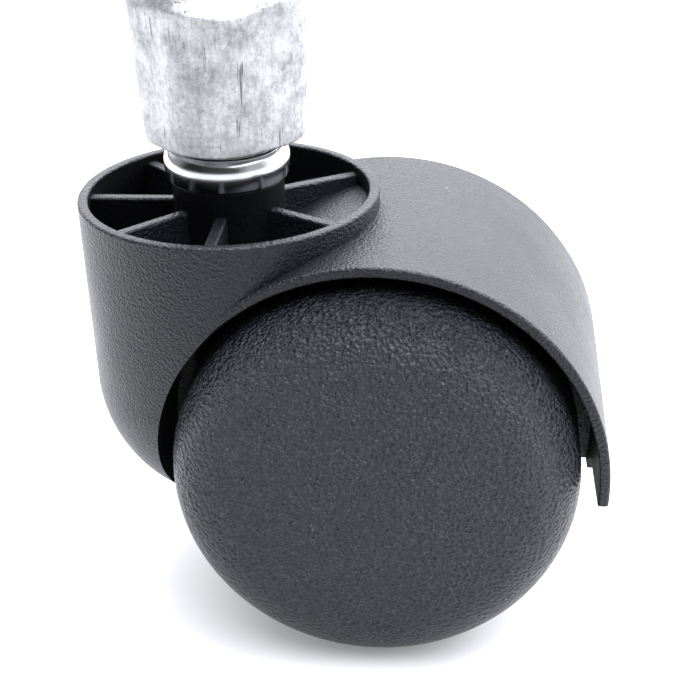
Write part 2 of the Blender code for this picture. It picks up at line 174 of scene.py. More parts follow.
def block(name, low, high, bevel=0.0, segments=3):
    mesh = bpy.data.meshes.new(name)
    bm = bmesh.new()
    bmesh.ops.create_cube(bm, size=1.0)
    bmesh.ops.scale(bm, verts=bm.verts, vec=[(h - l) * MM for l, h in zip(low, high)])
    bmesh.ops.translate(bm, verts=bm.verts, vec=[0.5 * (h + l) * MM for l, h in zip(low, high)])
    if bevel:
        top = [e for e in bm.edges if all(abs(v.co.z - high[2] * MM) < 1e-7 for v in e.verts)]
        bmesh.ops.bevel(bm, geom=top, offset=bevel * MM, segments=segments, affect="EDGES", profile=0.5)
    bm.to_mesh(mesh)
    bm.free()
    return link(bpy.data.objects.new(name, mesh))


def outline(name, points, thickness, upright=True, bevel=0.0, segments=2):
    """A flat outline extruded by its thickness. Upright outlines lie in XZ and extrude along Y."""
    mesh = bpy.data.meshes.new(name)
    bm = bmesh.new()
    half = 0.5 * thickness * MM
    low = [bm.verts.new((x * MM, y * MM, -half)) for x, y in points]
    face = bm.faces.new(low)
    made = bmesh.ops.extrude_face_region(bm, geom=[face])
    bmesh.ops.translate(bm, verts=[g for g in made["geom"] if isinstance(g, bmesh.types.BMVert)], vec=(0, 0, 2 * half))
    bmesh.ops.recalc_face_normals(bm, faces=bm.faces)
    if bevel:
        rims = [e for e in bm.edges if abs(e.verts[0].co.z - e.verts[1].co.z) < 1e-9]
        bmesh.ops.bevel(bm, geom=rims, offset=bevel * MM, segments=segments, affect="EDGES", profile=0.5)
    bm.to_mesh(mesh)
    bm.free()
    obj = link(bpy.data.objects.new(name, mesh))
    if upright:
        obj.rotation_euler = (0.5 * math.pi, 0.0, 0.0)
    return obj


def lie_along_y(obj, side=0.0, x=None, z=None, y=0.0):
    obj.rotation_euler = (math.pi * 0.5 if side <= 0 else -math.pi * 0.5, 0.0, 0.0)
    obj.location = ((OFFSET if x is None else x) * MM, y * MM, (AXLE_Z if z is None else z) * MM)
    return obj


def boolean(obj, other, operation):
    mod = obj.modifiers.new(operation.lower(), "BOOLEAN")
    mod.operation = operation
    mod.solver = "EXACT"
    mod.object = other


def cut(obj, *others):
    for other in others:
        boolean(obj, other, "DIFFERENCE")


def join(obj, *others):
    for other in others:
        boolean(obj, other, "UNION")


def baked(obj, name, sharp=35.0, weighted=True, drop=()):
    """The evaluated object as a plain mesh in the row frame, with the helpers it was cut with removed."""
    bpy.context.view_layer.update()
    graph = bpy.context.evaluated_depsgraph_get()
    mesh = bpy.data.meshes.new_from_object(obj.evaluated_get(graph))
    mesh.transform(obj.matrix_world)
    bm = bmesh.new()
    bm.from_mesh(mesh)
    bmesh.ops.remove_doubles(bm, verts=bm.verts, dist=1e-8)
    bmesh.ops.dissolve_degenerate(bm, edges=bm.edges, dist=1e-7)
    bm.to_mesh(mesh)
    bm.free()
    mesh.materials.clear()
    mesh.shade_smooth()
    mesh.set_sharp_from_angle(angle=math.radians(sharp))
    for helper in (obj, *drop):
        bpy.data.objects.remove(helper, do_unlink=True)
    made = link(bpy.data.objects.new(name, mesh))
    if weighted:
        mod = made.modifiers.new("even_normals", "WEIGHTED_NORMAL")
        mod.keep_sharp = True
        mod.weight = 50
    return made


def polar(radius, degrees, centre=None):
    a = math.radians(degrees)
    cx, cz = (OFFSET, AXLE_Z) if centre is None else centre
    return cx + radius * math.cos(a), cz + radius * math.sin(a)


def arc(centre, radius, start, end, count):
    return [polar(radius, start + (end - start) * i / (count - 1), centre) for i in range(count)]


# ---------------------------------------------------------------- material helpers
class Nodes:
    """Small wrapper for building a node material on the Principled shader."""

    def __init__(self, name):
        self.mat = bpy.data.materials.new(name)
        self.mat.use_nodes = True
        self.tree = self.mat.node_tree
        self.shader = self.tree.nodes["Principled BSDF"]
        self.out = self.tree.nodes["Material Output"]
        self.coord = self.tree.nodes.new("ShaderNodeTexCoord").outputs["Object"]

    def set(self, **values):
        for key, value in values.items():
            self.shader.inputs[key.replace("_", " ")].default_value = value

    def link(self, a, b):
        self.tree.links.new(a, b)

    def mapping(self, scale=(1, 1, 1), rotation=(0, 0, 0), location=(0, 0, 0)):
        n = self.tree.nodes.new("ShaderNodeMapping")
        n.inputs["Scale"].default_value = scale
        n.inputs["Rotation"].default_value = rotation
        n.inputs["Location"].default_value = location
        self.link(self.coord, n.inputs["Vector"])
        return n.outputs["Vector"]

    def noise(self, scale, detail=3.0, rough=0.5, distortion=0.0, vector=None):
        n = self.tree.nodes.new("ShaderNodeTexNoise")
        n.inputs["Scale"].default_value = scale
        n.inputs["Detail"].default_value = detail
        n.inputs["Roughness"].default_value = rough
        n.inputs["Distortion"].default_value = distortion
        self.link(vector or self.coord, n.inputs["Vector"])
        return n.outputs["Fac"]

    def voronoi(self, scale, feature="SMOOTH_F1", smoothness=0.6, randomness=1.0, vector=None, output="Distance"):
        n = self.tree.nodes.new("ShaderNodeTexVoronoi")
        n.feature = feature
        n.inputs["Scale"].default_value = scale
        n.inputs["Randomness"].default_value = randomness
        if feature == "SMOOTH_F1":
            n.inputs["Smoothness"].default_value = smoothness
        self.link(vector or self.coord, n.inputs["Vector"])
        return n.outputs[output]

    def ramp(self, source, stops):
        n = self.tree.nodes.new("ShaderNodeValToRGB")
        elements = n.color_ramp.elements
        while len(elements) < len(stops):
            elements.new(0.5)
        for e, (at, value) in zip(elements, stops):
            e.position = at
            e.color = (*value, 1.0) if isinstance(value, tuple) else (value, value, value, 1.0)
        self.link(source, n.inputs["Fac"])
        return n.outputs["Color"]

    def span(self, source, low, high, to_low, to_high):
        n = self.tree.nodes.new("ShaderNodeMapRange")
        for key, value in (("From Min", low), ("From Max", high), ("To Min", to_low), ("To Max", to_high)):
            n.inputs[key].default_value = value
        self.link(source, n.inputs["Value"])
        return n.outputs["Result"]

    def math(self, operation, a, b):
        n = self.tree.nodes.new("ShaderNodeMath")
        n.operation = operation
        for i, value in enumerate((a, b)):
            if isinstance(value, (int, float)):
                n.inputs[i].default_value = value
            else:
                self.link(value, n.inputs[i])
        return n.outputs["Value"]

    def mix(self, factor, a, b, blend="MIX"):
        n = self.tree.nodes.new("ShaderNodeMix")
        n.data_type = "RGBA"
        n.blend_type = blend
        for socket, value in ((n.inputs["Factor"], factor), (n.inputs[6], a), (n.inputs[7], b)):
            if isinstance(value, (int, float)):
                socket.default_value = value
            elif isinstance(value, tuple):
                socket.default_value = (*value, 1.0)
            else:
                self.link(value, socket)
        return n.outputs[2]

    def bump(self, height, distance, strength=1.0, normal=None):
        n = self.tree.nodes.new("ShaderNodeBump")
        n.inputs["Strength"].default_value = strength
        n.inputs["Distance"].default_value = distance
        self.link(height, n.inputs["Height"])
        if normal:
            self.link(normal, n.inputs["Normal"])
        return n.outputs["Normal"]

    def to(self, key, source):
        self.link(source, self.shader.inputs[key])
        return self


def moulded(name, colour, lift, rough, cell, depth, specks=0.0, ior=1.5, peak_highlight=1.0):
    """Moulded plastic with a leather-like spark grain: cells of that size in mm, that deep in mm."""
    m = Nodes(name)
    m.set(Metallic=0.0, IOR=ior)
    grain_cells = m.voronoi(1.0 / (cell * MM), smoothness=0.55)
    grain_fine = m.noise(1.6 / (cell * MM), detail=2.0, rough=0.55, distortion=0.4)
    patch = m.noise(90.0, detail=4.0, rough=0.6)
    height = m.math("ADD", m.math("MULTIPLY", grain_cells, 0.9), m.math("MULTIPLY", grain_fine, 0.75))
    first = m.bump(height, depth * MM, 1.0)
    wave = m.noise(55.0, detail=2.0, rough=0.5)
    second = m.bump(wave, 0.06 * MM, 0.6, first)
    m.to("Normal", second)
    dark = tuple(c * 0.82 for c in colour)
    light = tuple(min(1.0, c * (1.0 + lift)) for c in colour)
    base = m.mix(m.span(patch, 0.3, 0.7, 0.0, 1.0), dark, light)
    # Raised grain is painted lighter, a painted highlight, and the grain pits below are painted darker, a painted
    # shade. The grain, its bumps and the random patches are the plastic's own.
    bright = m.span(grain_fine, 0.50, 0.66, 0.0, 1.0)
    base = m.mix(bright, base, tuple(c * (1.0 + 1.6 * peak_highlight) for c in colour))
    base = m.mix(m.span(grain_cells, 0.12, 0.42, 0.85, 0.0), base, tuple(c * 0.35 for c in colour))
    if specks:
        dust = m.voronoi(420.0, feature="F1", randomness=1.0)
        keep = m.noise(70.0, detail=1.0)
        spot = m.math("MULTIPLY", m.span(dust, 0.05, 0.09, 1.0, 0.0), m.span(keep, 0.56, 0.66, 0.0, 1.0))
        base = m.mix(m.math("MULTIPLY", spot, specks), base, (0.42, 0.42, 0.43))
    m.to("Base Color", base)
    m.to("Roughness", m.math("ADD", m.span(patch, 0.25, 0.75, rough - 0.05, rough + 0.06),
                             m.math("MULTIPLY", grain_fine, 0.06)))
    return m.mat


def metal(name, colour, rough, brushed=0.0, mottled=0.0, scratch_axis="Z"):
    m = Nodes(name)
    m.set(Metallic=1.0)
    fine = m.noise(900.0, detail=3.0, rough=0.6)
    cloud = m.noise(160.0, detail=4.0, rough=0.6)
    stretch = {"Z": (1.0, 1.0, 0.04), "Y": (1.0, 0.04, 1.0), "R": (0.3, 0.3, 1.0)}[scratch_axis]
    lines = m.noise(2600.0, detail=2.0, rough=0.6, vector=m.mapping(scale=stretch))
    height = m.math("ADD", m.math("MULTIPLY", lines, brushed), m.math("MULTIPLY", fine, mottled))
    m.to("Normal", m.bump(height, 0.02 * MM, 1.0))
    tone = m.span(cloud, 0.3, 0.7, 0.0, 1.0)
    m.to("Base Color", m.mix(tone, tuple(c * 0.86 for c in colour), tuple(min(1.0, c * 1.06) for c in colour)))
    m.to("Roughness", m.math("ADD", m.span(cloud, 0.3, 0.7, rough * 0.85, rough * 1.15),
                             m.math("MULTIPLY", lines, 0.08)))
    return m.mat


# ---------------------------------------------------------------- materials
NYLON = moulded("black_nylon_grained", (0.0058, 0.0064, 0.0088), 0.30, 0.31, 0.36, 0.15, specks=0.5,
                ior=1.43, peak_highlight=1.0)
WHEEL = moulded("charcoal_leather_grain", (0.0105, 0.0115, 0.0150), 0.25, 0.22, 0.52, 0.62,
                specks=0.45, ior=1.40, peak_highlight=1.6)
# A darker, duller copy of the black nylon: painted shade for the inside of the cup, the boss in it and the wheel wells.
HOLLOW_SHADE_NYLON = moulded("black_nylon_painted_shade", (0.0022, 0.0024, 0.0032), 0.2, 0.50, 0.40, 0.05, ior=1.22)
CORE = moulded("dark_core_plastic", (0.028, 0.028, 0.030), 0.2, 0.5, 0.5, 0.02)
ACETAL = moulded("black_acetal", (0.012, 0.012, 0.013), 0.2, 0.35, 0.8, 0.01)
CHROME = metal("chromed_ring", (0.84, 0.85, 0.86), 0.13, brushed=0.12, mottled=0.15, scratch_axis="R")
STEEL = metal("turned_steel", (0.66, 0.67, 0.68), 0.26, brushed=0.6, mottled=0.2, scratch_axis="R")
COLLAR = metal("bright_collar_steel", (0.84, 0.85, 0.86), 0.08, brushed=0.15, mottled=0.15, scratch_axis="R")
SPRING = metal("dark_spring_steel", (0.24, 0.24, 0.25), 0.36, brushed=0.3, mottled=0.6)
BRONZE = metal("sintered_bronze", (0.46, 0.31, 0.16), 0.46, brushed=0.0, mottled=1.2)


def cast_metal():
    m = Nodes("cast_leg_metal")
    m.set(Metallic=1.0)
    grain = m.noise(1900.0, detail=3.0, rough=0.7)
    pit = m.noise(3600.0, detail=2.0, rough=0.6)
    cloud = m.noise(230.0, detail=5.0, rough=0.7)
    streak = m.noise(1400.0, detail=3.0, rough=0.6, vector=m.mapping(scale=(1.0, 1.0, 0.10)))
    scratch = m.noise(2300.0, detail=2.0, rough=0.5, vector=m.mapping(scale=(1.0, 1.0, 0.03), rotation=(0.0, 0.16, 0.0)))
    lines = m.span(scratch, 0.62, 0.70, 0.0, 1.0)
    band = m.noise(120.0, detail=3.0, rough=0.6)
    marks = m.math("MULTIPLY", lines, m.span(band, 0.52, 0.60, 0.0, 1.0))
    tone = m.math("ADD", m.math("MULTIPLY", cloud, 0.60), m.math("MULTIPLY", grain, 0.25))
    tone = m.math("ADD", tone, m.math("MULTIPLY", streak, 0.15))
    base = m.mix(m.span(tone, 0.40, 0.60, 0.0, 1.0), (0.31, 0.312, 0.318), (0.72, 0.723, 0.73))
    base = m.mix(m.span(pit, 0.60, 0.74, 0.0, 0.55), base, (0.20, 0.203, 0.21))
    base = m.mix(m.math("MULTIPLY", marks, 0.75), base, (0.10, 0.102, 0.108))
    m.to("Base Color", base)
    m.to("Roughness", m.math("ADD", m.span(tone, 0.3, 0.7, 0.52, 0.66), m.math("MULTIPLY", marks, 0.12)))
    height = m.math("ADD", m.math("MULTIPLY", grain, 0.9),
                    m.math("SUBTRACT", m.math("MULTIPLY", streak, 0.4), m.math("MULTIPLY", marks, 0.8)))
    m.to("Normal", m.bump(height, 0.07 * MM, 1.0))
    return m.mat


CAST = cast_metal()


def finish_piece(obj, mat, body, slot, *nodes):
    obj.data.materials.clear()
    obj.data.materials.append(mat)
    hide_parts(*nodes)
    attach(obj, body)
    return obj


# ---------------------------------------------------------------- hood
def rounded_top(radius, z_top, z_bottom, fillet, count=5):
    """Profile of a solid cylinder with its top edge rounded."""
    points = [(0.0, z_top), (radius - fillet, z_top)]
    points += arc((radius - fillet, z_top - fillet), fillet, 90.0, 0.0, count)[1:]
    return points + [(radius, z_bottom), (0.0, z_bottom)]


def hollow_edge(radius, z_edge, round_by, sign=1.0):
    """Rounded mouth of a hollow: the cutter flares by that much at the edge."""
    e = round_by
    points = [(radius + e, z_edge + 0.001 * sign)]
    points += [(radius + e - e * math.sin(math.radians(a)), z_edge - sign * (e - e * math.cos(math.radians(a))))
               for a in (22.5, 45.0, 67.5)]
    return points + [(radius, z_edge - sign * e)]


def build_hood():
    used = []

    def helper(obj):
        used.append(obj)
        return obj

    # the cup: a slight draft down to a hemispherical bottom
    profile = [(0.0, RIM_Z), (CUP_R - 0.34, RIM_Z)] + arc((CUP_R - 0.34, RIM_Z - 0.34), 0.34, 90.0, 0.0, 5)[1:]
    profile += arc((0.0, BOWL_Z), BOWL_R, 0.0, -90.0, 41)
    body = turned("hood_body", profile, steps=192)

    f = 0.42
    half = FENDER_HALF_W
    profile = [(0.0, half), (FENDER_R - f, half)] + arc((FENDER_R - f, half - f), f, 90.0, 0.0, 5)[1:]
    profile += arc((FENDER_R - f, -half + f), f, 0.0, -90.0, 5) + [(0.0, -half)]
    fender = helper(lie_along_y(turned("fender_form", profile, steps=256), 0))
    front = helper(block("front_form", (-60.0, -40.0, -90.0), (0.0, 40.0, 30.0)))
    cut(fender, front)

    # lower edge of the middle: from the nose past the axle to the tongue behind
    under = [(-6.4, -90.0), (-6.4, -47.3), polar(25.45, NOSE_END_DEG)]
    under += arc((OFFSET, AXLE_Z), 10.0, -118.0, -62.0, 17)
    under += [(40.5, -43.2), (42.3, TONGUE_END_Z - 0.35), (43.3, TONGUE_END_Z), (70.0, TONGUE_END_Z), (70.0, -90.0)]
    under = helper(outline("under_form", under, 60.0))
    # over each wheel the fender ends a little higher than its middle tongue
    ends = []
    for side in (-1, 1):
        ends.append(helper(fender_end(side)))

    wells = []
    for side in (-1, 1):
        profile = [(0.0, 40.0), (WELL_R + 0.30, 40.0)] + hollow_edge(WELL_R, half, 0.30)
        profile += [(WELL_IN_R, WEB_HALF_T), (0.0, WEB_HALF_T)]
        wells.append(helper(lie_along_y(turned("well_form_%d" % (side + 1), profile, steps=256), side)))

    inner = CUP_R - CUP_WALL
    profile = [(0.0, 5.0), (inner + 0.3, 5.0)] + hollow_edge(inner, RIM_Z, 0.30)
    profile += arc((0.0, BOWL_Z), BOWL_R - CUP_WALL, 0.0, -90.0, 25)
    cavity = helper(turned("cavity_form", profile, steps=192))
    roof = helper(lie_along_y(turned("roof_form", [(0.0, 30.0), (FENDER_R, 30.0), (FENDER_R, -30.0), (0.0, -30.0)],
                                     steps=256), 0))
    boss = helper(turned("boss_in_cup_form", [(0.0, 8.0), (BOSS_R - 0.2, 8.0), (BOSS_R - 0.2, -62.0), (0.0, -62.0)], steps=90))
    cut(cavity, roof, boss)
    for i, degrees in enumerate(RIB_ANGLES):
        rib = helper(block("rib_form_%d" % i, (5.0, -0.5 * RIB_T, -64.0), (21.0, 0.5 * RIB_T, RIB_TOP_Z), bevel=0.3))
        rib.rotation_euler = (0.0, 0.0, math.radians(degrees))
        cut(cavity, rib)

    boss_upper = helper(turned("boss_upper_form", rounded_top(BOSS_R, BOSS_TOP_Z, -13.5, 0.35), steps=96))
    boss_lower = helper(turned("boss_lower_form", [(0.0, -9.0), (BOSS_LOW_R, -9.0), (BOSS_LOW_R, BOSS_BOTTOM_Z + 0.6),
                                                   (BOSS_LOW_R - 0.6, BOSS_BOTTOM_Z), (0.0, BOSS_BOTTOM_Z)], steps=72))
    p = AXLE_BOSS_HALF
    axle_boss = helper(lie_along_y(turned("axle_boss_form", [(0.0, p), (AXLE_BOSS_R - 0.4, p), (AXLE_BOSS_R, p - 0.4),
                                                             (AXLE_BOSS_R, -p + 0.4), (AXLE_BOSS_R - 0.4, -p),
                                                             (0.0, -p)], steps=72), 0))
    stem_bore = helper(turned("stem_bore_form", [(0.0, 3.0), (5.0 + GAP, 3.0), (5.0 + GAP, -16.3),
                                                 (STEM_LOW_R + GAP, -16.3), (STEM_LOW_R + GAP, CLIP_GROOVE[1]),
                                                 (5.2, CLIP_GROOVE[1]), (5.2, CLIP_GROOVE[0]),
                                                 (STEM_LOW_R + GAP, CLIP_GROOVE[0]), (STEM_LOW_R + GAP, -30.6),
                                                 (0.0, -30.6)], steps=60))
    axle_bore = helper(lie_along_y(turned("axle_bore_form", [(0.0, 10.0), (AXLE_R + GAP, 10.0),
                                                             (AXLE_R + GAP, -10.0), (0.0, -10.0)], steps=48), 0))
    join(body, fender)
    cut(body, *wells, cavity, under, *ends)
    join(body, boss_upper, boss_lower)
    cut(body, stem_bore)
    join(body, axle_boss)
    cut(body, axle_bore)
    return baked(body, "hood_moulding", sharp=32.0, drop=used)


def fender_end(side):
    """Cutter for the fender's rear edge over one wheel, its inner corner rounded where it meets the tongue."""
    y0, y1 = TONGUE_HALF_W, 30.0
    r = 1.6
    points = [(y1, FENDER_END_Z), (y0 + r, FENDER_END_Z)]
    points += [(y0 + r - r * math.sin(math.radians(a)), FENDER_END_Z - r + r * math.cos(math.radians(a)))
               for a in (15, 30, 45, 60, 75)]
    points += [(y0, FENDER_END_Z - r), (y0, -60.0), (y1, -60.0)]
    mesh = bpy.data.meshes.new("end_form")
    bm = bmesh.new()
    low = [bm.verts.new((38.0 * MM, side * y * MM, z * MM)) for y, z in points]
    face = bm.faces.new(low)
    made = bmesh.ops.extrude_face_region(bm, geom=[face])
    bmesh.ops.translate(bm, verts=[g for g in made["geom"] if isinstance(g, bmesh.types.BMVert)], vec=(20.0 * MM, 0, 0))
    bmesh.ops.recalc_face_normals(bm, faces=bm.faces)
    bm.to_mesh(mesh)
    bm.free()
    return link(bpy.data.objects.new("end_form", mesh))


def smooth_line(points, per):
    """A smooth line through the points, with that many steps between each pair."""
    out = []
    n = len(points)
    for i in range(n - 1):
        p0 = points[max(i - 1, 0)]
        p1, p2 = points[i], points[i + 1]
        p3 = points[min(i + 2, n - 1)]
        for k in range(per):
            t = k / per
            out.append(tuple(0.5 * (2 * b + (c - a) * t + (2 * a - 5 * b + 4 * c - d) * t * t +
                                    (3 * b - a - 3 * c + d) * t ** 3) for a, b, c, d in zip(p0, p1, p2, p3)))
    out.append(points[-1])
    return out


hood = finish_piece(build_hood(), NYLON, "hood", "black_nylon", "hood")
# Faces inside the cup, on the boss there and in the wheel wells take the darker copy, painted shade in these hollows.
hood.data.materials.append(HOLLOW_SHADE_NYLON)
for face in hood.data.polygons:
    c = face.center / MM
    from_stem = math.hypot(c.x, c.y)
    from_axle = math.hypot(c.x - OFFSET, c.z - AXLE_Z)
    in_cup = (c.z < -30.5 and math.hypot(from_stem, c.z + 30.5) < 17.3) or \
             (-30.5 <= c.z < -7.6 and 16.5 < from_stem < 17.5) or (c.z < -5.3 and from_stem < 7.2)
    faces_axle = (face.normal.x * (OFFSET - c.x) + face.normal.z * (AXLE_Z - c.z)) / max(from_axle, 1.0) > 0.9
    in_well = 25.6 < from_axle < 27.5 and 3.9 < abs(c.y) < 18.3 and faces_axle
    if (in_cup and from_axle > 28.6) or in_well:
        face.material_index = 1


# ---------------------------------------------------------------- wheels
def wheel_profile(inset, face_steps, arc_steps):
    turn = math.radians(FACE_ARC_DEG)
    edge = WHEEL_EDGE_R - inset
    r1 = WHEEL_R - WHEEL_EDGE_R + edge * math.cos(turn)
    y1 = TREAD_OUT + edge * math.sin(turn)
    big = (WHEEL_R - WHEEL_EDGE_R + WHEEL_EDGE_R * math.cos(turn)) / math.cos(turn) - inset
    points = []
    for i in range(face_steps):
        r = r1 * i / face_steps
        points.append((r, y1 - big * math.sin(turn) + math.sqrt(big * big - r * r)))
    return points + arc((WHEEL_R - WHEEL_EDGE_R, TREAD_OUT), edge, FACE_ARC_DEG, 0.0, arc_steps)


def build_shell(side, word):
    profile = wheel_profile(0.0, 12, 22) + [(WHEEL_R, WHEEL_IN + 0.7)]
    profile += arc((WHEEL_R - 0.7, WHEEL_IN + 0.7), 0.7, 0.0, -90.0, 6)[1:]
    profile += [(WHEEL_R - SHELL_WALL, WHEEL_IN)] + list(reversed(wheel_profile(SHELL_WALL, 3, 10)))
    shell = lie_along_y(turned(word + "_shell_form", profile, steps=256), side)
    return baked(shell, word + "_wheel_skin", sharp=40.0)


def build_core(side, word):
    hub_end = 20.4
    rim = WHEEL_R - SHELL_WALL - GAP
    start = WHEEL_IN + 0.3
    core = turned(word + "_core_form", [(0.0, hub_end), (HUB_R - 0.4, hub_end), (HUB_R, hub_end - 0.4), (HUB_R, 9.2),
                                        (rim, 9.2), (rim, start + 0.35), (rim - 0.35, start), (rim - 2.2, start),
                                        (rim - 2.6, start + 0.5), (HUB_R + 2.6, start + 0.5), (HUB_R + 2.2, start),
                                        (HUB_R + 1.0, start), (HUB_R, WHEEL_IN - 0.1), (0.0, WHEEL_IN - 0.1)], steps=128)
    lie_along_y(core, side)
    inner = wheel_profile(SHELL_WALL + GAP + 0.1, 3, 10)
    inside = lie_along_y(turned(word + "_inside_form", inner + [(inner[-1][0], 8.0), (0.0, 8.0)], steps=100), side)
    star = []
    for k in range(SPOKES):
        a = 2.0 * math.pi * (k + SPOKE_PHASE) / SPOKES
        h = SPOKE_T / 2.0
        for across in (-h, h):
            star.append((30.0 * math.cos(a) - across * math.sin(a), 30.0 * math.sin(a) + across * math.cos(a)))
        between = a + math.pi / SPOKES
        d = h / math.sin(math.pi / SPOKES)
        star.append((d * math.cos(between), d * math.sin(between)))
    spokes = outline(word + "_spoke_form", star, 18.0, upright=False)
    lie_along_y(spokes, side, y=side * 16.8)
    boolean(spokes, inside, "INTERSECT")
    bore = lie_along_y(turned(word + "_bore_form", [(0.0, 30.0), (HUB_BORE_R, 30.0), (HUB_BORE_R, 0.0), (0.0, 0.0)],
                              steps=60), side)
    join(core, spokes)
    cut(core, bore)
    return baked(core, word + "_wheel_spider", sharp=35.0, drop=(inside, spokes, bore))


for side, word in ((-1, "left"), (1, "right")):
    body = word + "_wheel"
    finish_piece(build_shell(side, word), WHEEL, body, "charcoal_tyre", word + "_wheel_shell")
    finish_piece(build_core(side, word), CORE, body, "dark_core_plastic", word + "_wheel_core")
    bush = lie_along_y(turned(word + "_bush_form", [(AXLE_R + GAP, 17.1), (AXLE_R + GAP + 0.3, 17.4),
                                                    (HUB_BORE_R - GAP - 0.25, 17.4), (HUB_BORE_R - GAP, 17.15),
                                                    (HUB_BORE_R - GAP, 7.35), (HUB_BORE_R - GAP - 0.25, 7.1),
                                                    (AXLE_R + GAP + 0.3, 7.1), (AXLE_R + GAP, 7.4)],
                              steps=96, ring=True), side)
    finish_piece(baked(bush, word + "_hub_sleeve"), BRONZE, body, "bronze", word + "_hub_bush")
    washer = lie_along_y(turned(word + "_washer_form", [(AXLE_R + GAP, 6.5), (6.15, 6.5), (6.3, 6.35), (6.3, 6.05),
                                                        (6.15, 5.9), (AXLE_R + GAP, 5.9)], steps=96, ring=True), side)
    finish_piece(baked(washer, word + "_washer_disc"), STEEL, "hood", "bright_steel", word + "_spacer_washer")
    clip = outline(word + "_clip_form", arc((0.0, 0.0), 4.2, 20.0, 340.0, 49) +
                   arc((0.0, 0.0), 2.7, 340.0, 20.0, 49), 0.8, upright=False, bevel=0.12)
    lie_along_y(clip, side, y=side * 18.4)
    finish_piece(baked(clip, word + "_snap_clip"), SPRING, "hood", "spring_steel", word + "_axle_clip")

# ---------------------------------------------------------------- axle and stem
g_in, g_out, g_r = 17.7, 19.1, 2.4
profile = [(0.0, AXLE_HALF), (AXLE_R - 0.5, AXLE_HALF), (AXLE_R, AXLE_HALF - 0.5), (AXLE_R, g_out),
           (g_r, g_out), (g_r, g_in), (AXLE_R, g_in)]
profile += [(r, -y) for r, y in reversed(profile)]
finish_piece(baked(lie_along_y(turned("axle_form", profile, steps=96), 0), "axle_pin", sharp=30.0),
             STEEL, "hood", "bright_steel", "axle")

profile = [(0.0, STEM_TIP_Z), (STEM_R - 1.2, STEM_TIP_Z), (STEM_R, STEM_TIP_Z - 1.2), (STEM_R, RING_GROOVE[1]),
           (RING_GROOVE_R, RING_GROOVE[1]), (RING_GROOVE_R, RING_GROOVE[0]), (STEM_R, RING_GROOVE[0]), (STEM_R, 0.3),
           (STEM_R + 0.3, 0.0), (COLLAR_R - 0.2, 0.0)]
profile += arc((COLLAR_R - 0.2, -0.2), 0.2, 90.0, 0.0, 4)[1:] + arc((COLLAR_R - 0.2, -0.4), 0.2, 0.0, -90.0, 4)
profile += [(STEM_LOW_R + 0.2, -0.6), (STEM_LOW_R, -0.8), (STEM_LOW_R, CLIP_GROOVE[1]),
            (3.3, CLIP_GROOVE[1]), (3.3, CLIP_GROOVE[0]), (STEM_LOW_R, CLIP_GROOVE[0]), (STEM_LOW_R, -27.0)]
profile += [(STEM_LOW_R * math.cos(math.radians(a)), -27.0 - 2.0 * math.sin(math.radians(a))) for a in range(10, 90, 10)]
profile += [(0.0, STEM_END_Z)]
finish_piece(baked(turned("stem_form", profile, steps=160), "stem", sharp=30.0), COLLAR, "stem", "bright_steel",
             "stem_pin")

profile = [(STEM_LOW_R + GAP, -1.6), (6.2, -1.6), (6.2, -1.0), (6.3, -0.9), (6.6, -0.9), (6.8, -0.93), (6.95, -0.98)]
profile += [(CAP_R - 2.0 + 2.0 * math.cos(math.radians(t)), -2.9 + (2.5 if t > 0 else 3.6) * math.sin(math.radians(t)))
            for t in [47.0 - 1.6 * i for i in range(50)] if t > -31.5]
profile += [(7.40, -4.8), (7.2, -4.8), (STEM_LOW_R + GAP, -4.8)]
finish_piece(baked(turned("cap_form", profile, steps=192, ring=True), "chrome_cap_ring", sharp=50.0), CHROME, "hood",
             "chrome", "swivel_cap")

washer = turned("thrust_form", [(STEM_LOW_R + GAP, -0.9), (5.85, -0.9), (5.9, -0.95), (5.9, -1.25), (5.85, -1.3),
                                (STEM_LOW_R + GAP, -1.3)], steps=128, ring=True)
finish_piece(baked(washer, "thrust_disc"), ACETAL, "hood", "black_acetal", "thrust_washer")

bush = turned("bush_form", [(STEM_LOW_R + GAP, -5.6), (STEM_LOW_R + GAP + 0.2, -5.4), (4.85, -5.4), (5.0, -5.55),
                            (5.0, -15.85), (4.85, -16.0), (STEM_LOW_R + GAP + 0.2, -16.0),
                            (STEM_LOW_R + GAP, -15.8)], steps=96, ring=True)
finish_piece(baked(bush, "boss_sleeve"), BRONZE, "hood", "bronze", "swivel_bush")

plate = turned("plate_form", [(0.0, -29.3), (3.7, -29.3), (4.0, -29.6), (4.0, -30.1), (3.8, -30.3), (0.0, -30.3)],
               steps=96)
finish_piece(baked(plate, "thrust_button"), STEEL, "hood", "bright_steel", "thrust_plate")

grip = outline("grip_form", arc((0.0, 0.0), 5.8, 11.0, 349.0, 97) + arc((0.0, 0.0), RING_GROOVE_R + GAP, 349.0, 11.0, 97),
               2.8, upright=False, bevel=0.3, segments=3)
grip.location = (0.0, 0.0, 0.5 * sum(RING_GROOVE) * MM)
finish_piece(baked(grip, "friction_ring"), SPRING, "stem", "spring_steel", "grip_ring")

snap = outline("snap_form", arc((0.0, 0.0), 4.9, 15.0, 345.0, 73) + arc((0.0, 0.0), 3.6, 345.0, 15.0, 73), 1.0,
               upright=False, bevel=0.15)
snap.location = (0.0, 0.0, 0.5 * sum(CLIP_GROOVE) * MM)
finish_piece(baked(snap, "stem_retaining_ring"), SPRING, "stem", "spring_steel", "stem_snap_ring")


# ---------------------------------------------------------------- the leg's cast end
def section(theta, half, corner):
    """Radius of a rounded square of that half width and corner radius, at an angle from one of its flats."""
    a = abs((theta + math.pi / 4) % (math.pi / 2) - math.pi / 4)
    c = half - corner
    if half * math.tan(a) <= c:
        return half / math.cos(a)
    b = c * (math.cos(a) + math.sin(a))
    return b + math.sqrt(max(0.0, b * b - (2 * c * c - corner * corner)))


